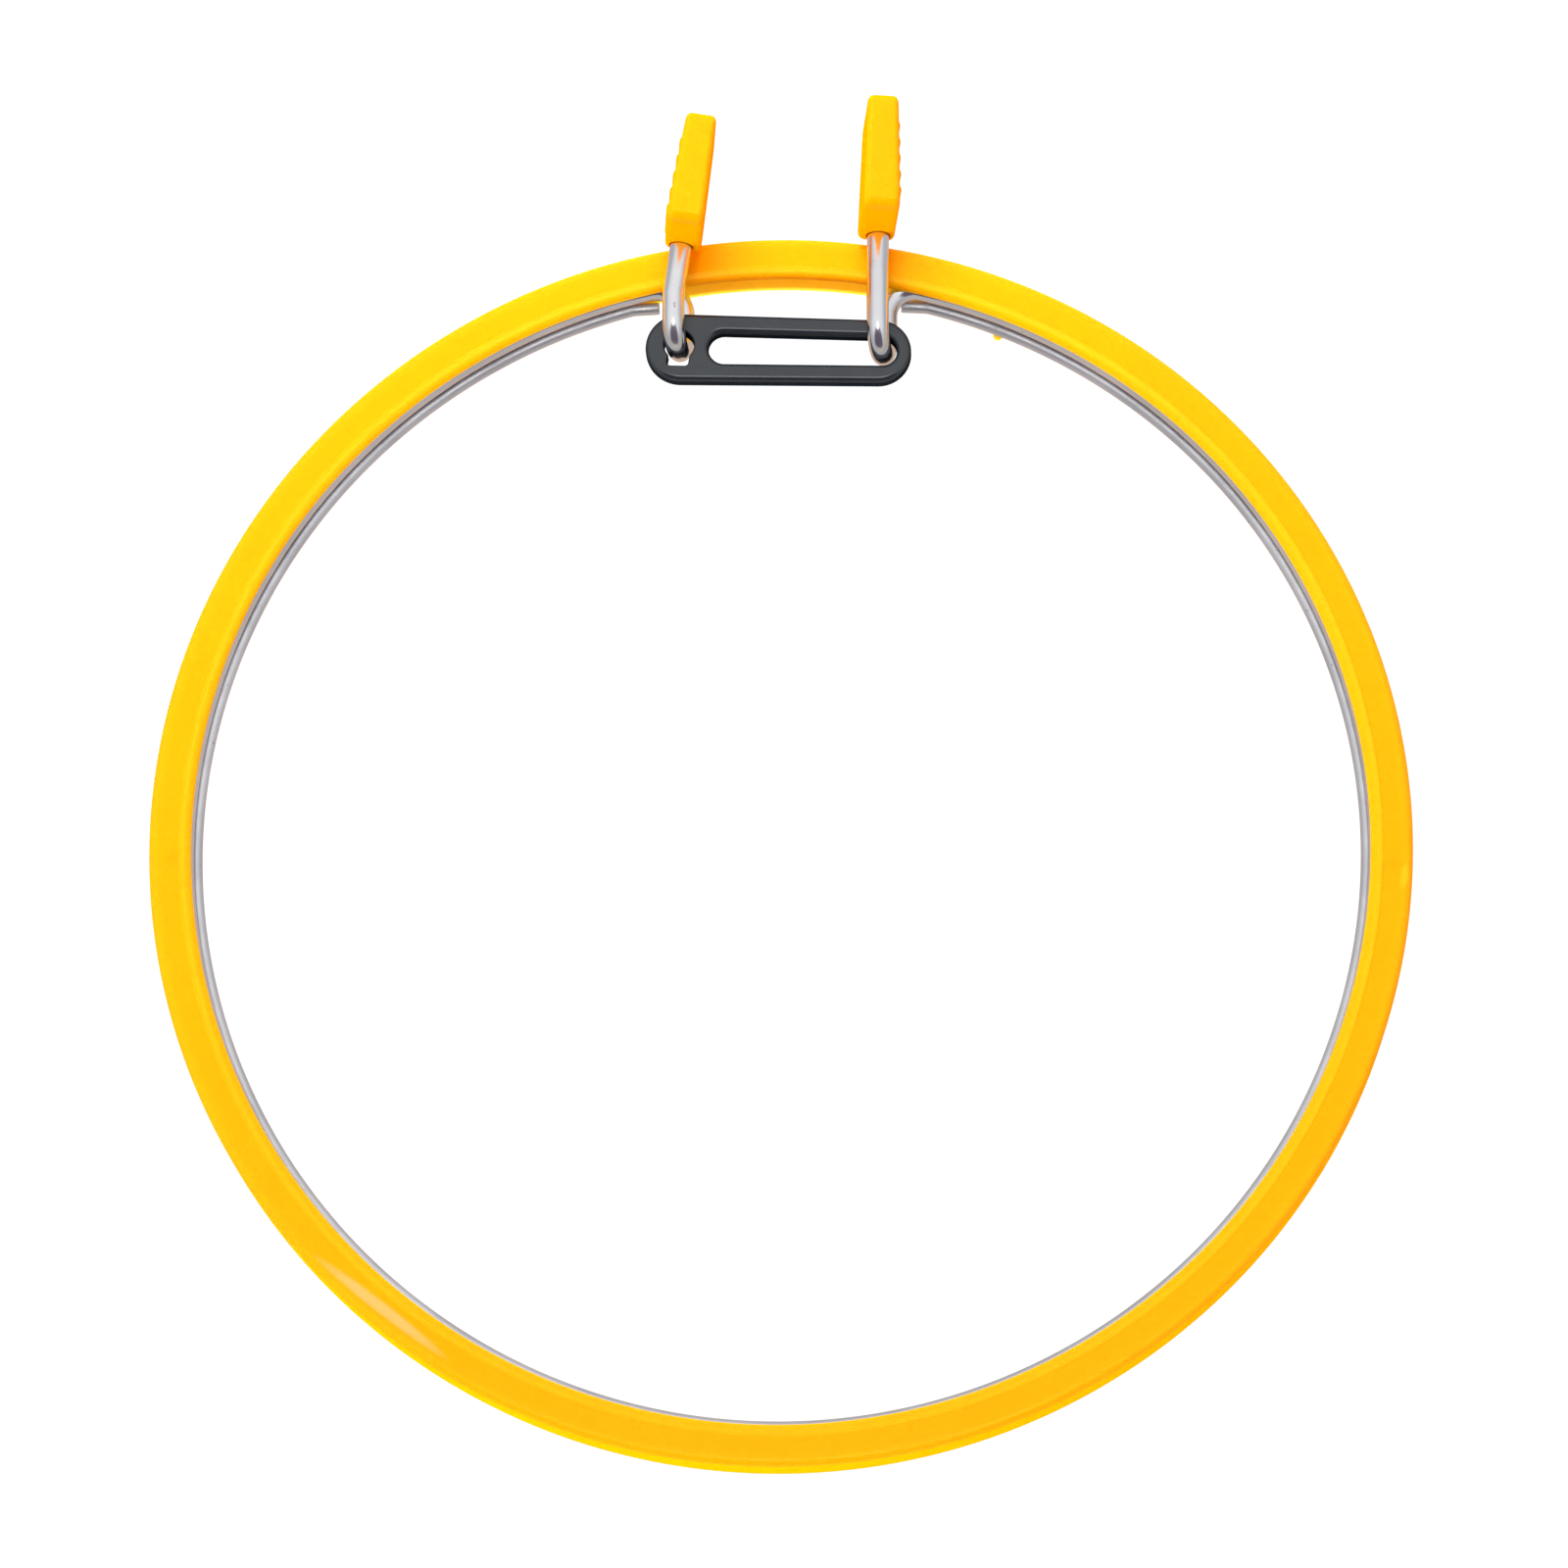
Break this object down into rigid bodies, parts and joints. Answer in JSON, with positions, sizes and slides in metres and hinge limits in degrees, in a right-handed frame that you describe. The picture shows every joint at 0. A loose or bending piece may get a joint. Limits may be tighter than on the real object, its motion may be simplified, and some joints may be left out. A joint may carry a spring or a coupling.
{
  "type": "embroidery hoop",
  "caption": "Round embroidery hoop: a grooved outer ring holds a sprung wire that clamps the cloth and is released by pinching its ribbed finger grips.",
  "frame": {"origin": "under the middle of the whole object's box, level with the ring's back face", "axes": "+Z out of the hoop's front face, +Y from the ring's centre towards the finger grips, +X to the right seen from the front"},
  "size_m": [0.18, 0.1982, 0.0219],
  "materials": {
    "ring_plastic": "gloss",
    "grip_plastic": "satin",
    "spring_steel": "bright plated",
    "link_plastic": "satin"
  },
  "bodies": {
    "ring": {"outer_ring": "ring_plastic"},
    "spring_bow": {"spring_wire_bow": "spring_steel", "backing_wire_bow": "spring_steel"},
    "left_arm": {"spring_wire_left": "spring_steel", "backing_wire_left": "spring_steel", "grip_left": "grip_plastic"},
    "right_arm": {"spring_wire_right": "spring_steel", "backing_wire_right": "spring_steel", "grip_right": "grip_plastic"},
    "link": {"retaining_link": "link_plastic"}
  },
  "joints": [
    {"name": "spring_turn", "type": "hinge", "parent": "ring", "child": "spring_bow", "pos_m": [0, -0.00915, 0.0046], "axis": [0, 0, 1], "continuous": true},
    {"name": "left_squeeze", "type": "hinge", "parent": "spring_bow", "child": "left_arm", "pos_m": [-0.00883, -0.09318, 0.0046], "axis": [0, 0, -1], "range_deg": [0, 3.2], "stiffness_Nm_per_rad": 11},
    {"name": "right_squeeze", "type": "hinge", "parent": "spring_bow", "child": "right_arm", "pos_m": [0.00883, -0.09318, 0.0046], "axis": [0, 0, 1], "range_deg": [0, 3.2], "stiffness_Nm_per_rad": 11},
    {"name": "link_swing", "type": "hinge", "parent": "left_arm", "child": "link", "pos_m": [-0.01465, 0.06365, 0.0084], "axis": [0, 0, 1], "range_deg": [0, 1.92]}
  ],
  "couplings": [
    {"joint": "right_squeeze", "follows": "left_squeeze", "ratio": 1},
    {"joint": "link_swing", "follows": "left_squeeze", "ratio": 0.6}
  ]
}
